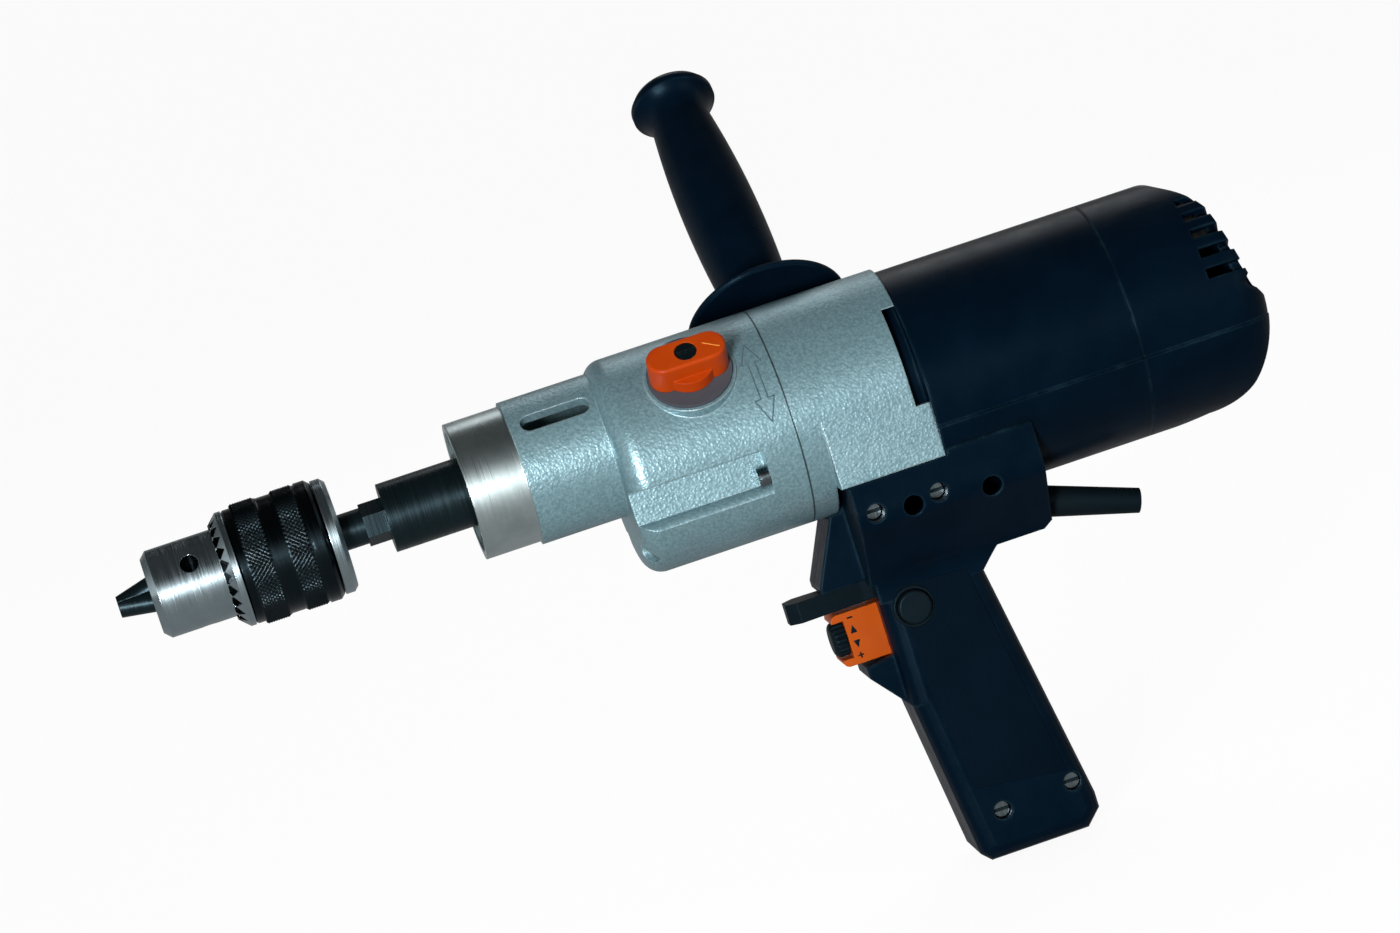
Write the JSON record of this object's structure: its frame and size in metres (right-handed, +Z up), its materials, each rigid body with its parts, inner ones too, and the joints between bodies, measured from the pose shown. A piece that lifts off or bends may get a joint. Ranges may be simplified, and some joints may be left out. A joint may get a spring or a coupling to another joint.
{
  "type": "low-speed drill",
  "caption": "Corded two-speed pistol drill with a keyed chuck on a long spindle nose, a hammered gear housing, a dark motor housing and grip, and a screw-in side handle.",
  "frame": {"origin": "on the spindle axis, at the middle of the clamping collar", "axes": "+X from the chuck to the motor's rear, +Z up, away from the pistol grip"},
  "size_m": [0.5071, 0.2001, 0.3611],
  "materials": {
    "hammered_paint": "hammered silver paint",
    "housing_plastic": "fine moulded texture",
    "orange_plastic": "satin",
    "black_plastic": "satin",
    "bright_steel": "turned",
    "black_steel": "blackened, oiled",
    "screw_steel": "zinc plated",
    "rubber": "matt",
    "copper": "enamelled wire",
    "core_steel": "laminated",
    "carbon": "graphite",
    "bush_bronze": "sintered"
  },
  "bodies": {
    "housing": {"gear_housing": "hammered_paint", "bearing_bracket": "hammered_paint", "motor_housing": "housing_plastic", "rear_cover": "housing_plastic", "grip_near_half": "housing_plastic", "grip_far_half": "housing_plastic", "side_handle": "housing_plastic", "side_handle_stud": "screw_steel", "selector_disc": "black_plastic", "spindle_front_bearing": "bright_steel", "spindle_rear_bush": "bush_bronze", "layshaft_bushes": "bush_bronze", "motor_front_bearing": "bright_steel", "motor_rear_bearing": "bright_steel", "stator_core": "core_steel", "field_coils": "copper", "brush_holders": "black_plastic", "carbon_brushes": "carbon", "switch_body": "black_plastic", "lever_pin": "screw_steel", "suppression_capacitor": "core_steel", "cable_sleeve": "rubber", "cable_clamp": "black_plastic", "housing_bolts": "screw_steel", "cover_screws": "screw_steel", "grip_screws": "screw_steel"},
    "spindle": {"spindle": "bright_steel", "spindle_nose_sleeve": "black_steel", "chuck_adapter": "black_steel", "spindle_low_gear": "bright_steel", "spindle_high_gear": "bright_steel", "chuck_body": "bright_steel"},
    "chuck_sleeve": {"chuck_sleeve": "black_steel", "chuck_ring": "bright_steel", "chuck_nut": "bright_steel"},
    "jaw_1": {"chuck_jaw_1": "black_steel"},
    "jaw_2": {"chuck_jaw_2": "black_steel"},
    "jaw_3": {"chuck_jaw_3": "black_steel"},
    "layshaft": {"layshaft": "bright_steel", "layshaft_gear": "bright_steel"},
    "sliding_cluster": {"sliding_cluster": "bright_steel"},
    "shift_fork": {"shift_fork": "screw_steel"},
    "armature": {"motor_pinion": "bright_steel", "armature_shaft": "bright_steel", "armature_core": "core_steel", "armature_windings": "copper", "commutator": "copper", "cooling_fan": "black_plastic"},
    "selector_knob": {"selector_knob": "orange_plastic", "selector_screw": "black_steel"},
    "trigger": {"trigger": "orange_plastic"},
    "speed_dial": {"speed_dial": "black_plastic"},
    "reversing_lever": {"reversing_lever": "black_plastic"},
    "lock_button": {"lock_button": "black_plastic"}
  },
  "joints": [
    {"name": "spindle_spin", "type": "hinge", "parent": "housing", "child": "spindle", "pos_m": [0, 0, 0], "axis": [1, 0, 0], "continuous": true},
    {"name": "chuck_sleeve_turn", "type": "hinge", "parent": "spindle", "child": "chuck_sleeve", "pos_m": [0, 0, 0], "axis": [1, 0, 0], "range_deg": [0, 2520]},
    {"name": "layshaft_spin", "type": "hinge", "parent": "housing", "child": "layshaft", "pos_m": [0, 0, -0.038], "axis": [1, 0, 0], "continuous": true},
    {"name": "armature_spin", "type": "hinge", "parent": "housing", "child": "armature", "pos_m": [0, 0, -0.018], "axis": [1, 0, 0], "continuous": true},
    {"name": "selector_turn", "type": "hinge", "parent": "housing", "child": "selector_knob", "pos_m": [0.092, -0.03394, 0.02194], "axis": [0, -0.7071, 0.7071], "range_deg": [0, 180]},
    {"name": "fork_slide", "type": "slide", "parent": "housing", "child": "shift_fork", "axis": [-1, 0, 0], "range_m": [0, 0.011]},
    {"name": "cluster_spin", "type": "hinge", "parent": "shift_fork", "child": "sliding_cluster", "pos_m": [0, 0, -0.038], "axis": [1, 0, 0], "continuous": true},
    {"name": "trigger_press", "type": "slide", "parent": "housing", "child": "trigger", "axis": [1, 0, 0], "range_m": [0, 0.008], "stiffness_N_per_m": 1200, "springref_m": -0.003},
    {"name": "speed_dial_turn", "type": "hinge", "parent": "trigger", "child": "speed_dial", "pos_m": [0.12225, 0, -0.11325], "axis": [1, 0, 0], "range_deg": [0, 270]},
    {"name": "lever_swing", "type": "hinge", "parent": "housing", "child": "reversing_lever", "pos_m": [0.152, 0, -0.0957], "axis": [0, 0, 1], "range_deg": [-12, 12]},
    {"name": "lock_button_press", "type": "slide", "parent": "housing", "child": "lock_button", "axis": [0, 1, 0], "range_m": [0, 0.004], "stiffness_N_per_m": 800, "springref_m": -0.002},
    {"name": "jaw_1_slide", "type": "slide", "parent": "spindle", "child": "jaw_1", "axis": [0.9659, 0.0135, 0.2585], "range_m": [0, 0.01]},
    {"name": "jaw_2_slide", "type": "slide", "parent": "spindle", "child": "jaw_2", "axis": [0.9659, -0.2306, -0.1175], "range_m": [0, 0.01]},
    {"name": "jaw_3_slide", "type": "slide", "parent": "spindle", "child": "jaw_3", "axis": [0.9659, 0.2171, -0.141], "range_m": [0, 0.01]}
  ],
  "couplings": [
    {"joint": "layshaft_spin", "follows": "spindle_spin", "ratio": -3.2222},
    {"joint": "cluster_spin", "follows": "spindle_spin", "ratio": -3.2222},
    {"joint": "armature_spin", "follows": "spindle_spin", "ratio": 11.099},
    {"joint": "selector_turn", "follows": "fork_slide", "rad_per_m": 285.6},
    {"joint": "jaw_1_slide", "follows": "chuck_sleeve_turn", "m_per_rad": 0.00022736},
    {"joint": "jaw_2_slide", "follows": "chuck_sleeve_turn", "m_per_rad": 0.00022736},
    {"joint": "jaw_3_slide", "follows": "chuck_sleeve_turn", "m_per_rad": 0.00022736}
  ]
}
